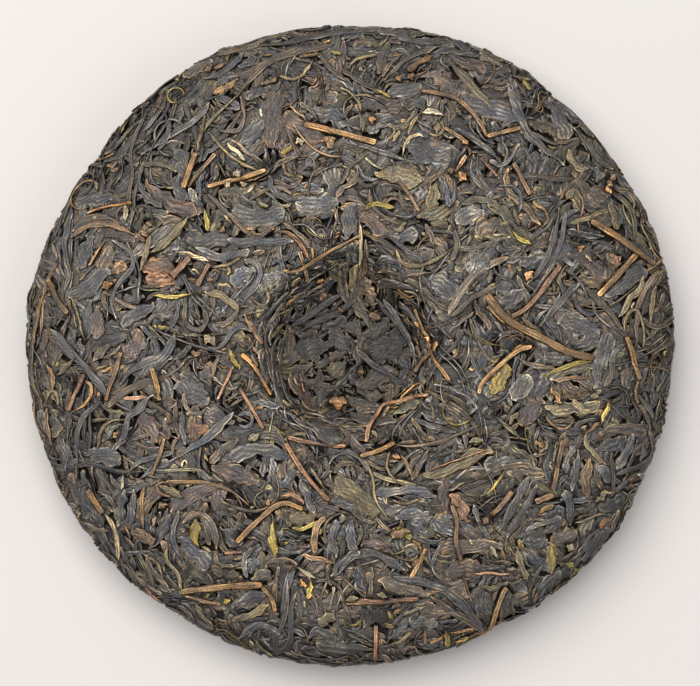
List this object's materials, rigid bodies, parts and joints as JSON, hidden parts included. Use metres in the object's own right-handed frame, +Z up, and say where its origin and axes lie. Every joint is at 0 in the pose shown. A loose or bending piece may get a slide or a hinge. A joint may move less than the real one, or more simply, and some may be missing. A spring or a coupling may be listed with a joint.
{
  "type": "pressed pu erh tea cake",
  "caption": "Round pressed cake of dark aged tea leaves and golden stems, with a knot hollow in its upper face.",
  "frame": {"origin": "on the resting plane, under the middle of the cake", "axes": "+Z up, the hollowed face up; +Y towards the tail of the hollow, where the knot's cloth was drawn away; +X to the right of it"},
  "size_m": [0.199, 0.1992, 0.0257],
  "materials": {
    "pressed_leaf": "dull satin, dark brown-grey, finely wrinkled",
    "tea_stem": "dull satin, golden brown to russet, fibrous",
    "tea_bud": "soft matte, pale straw to olive, downy"
  },
  "bodies": {
    "root": {"tea_cake": "pressed_leaf"}
  },
  "joints": []
}
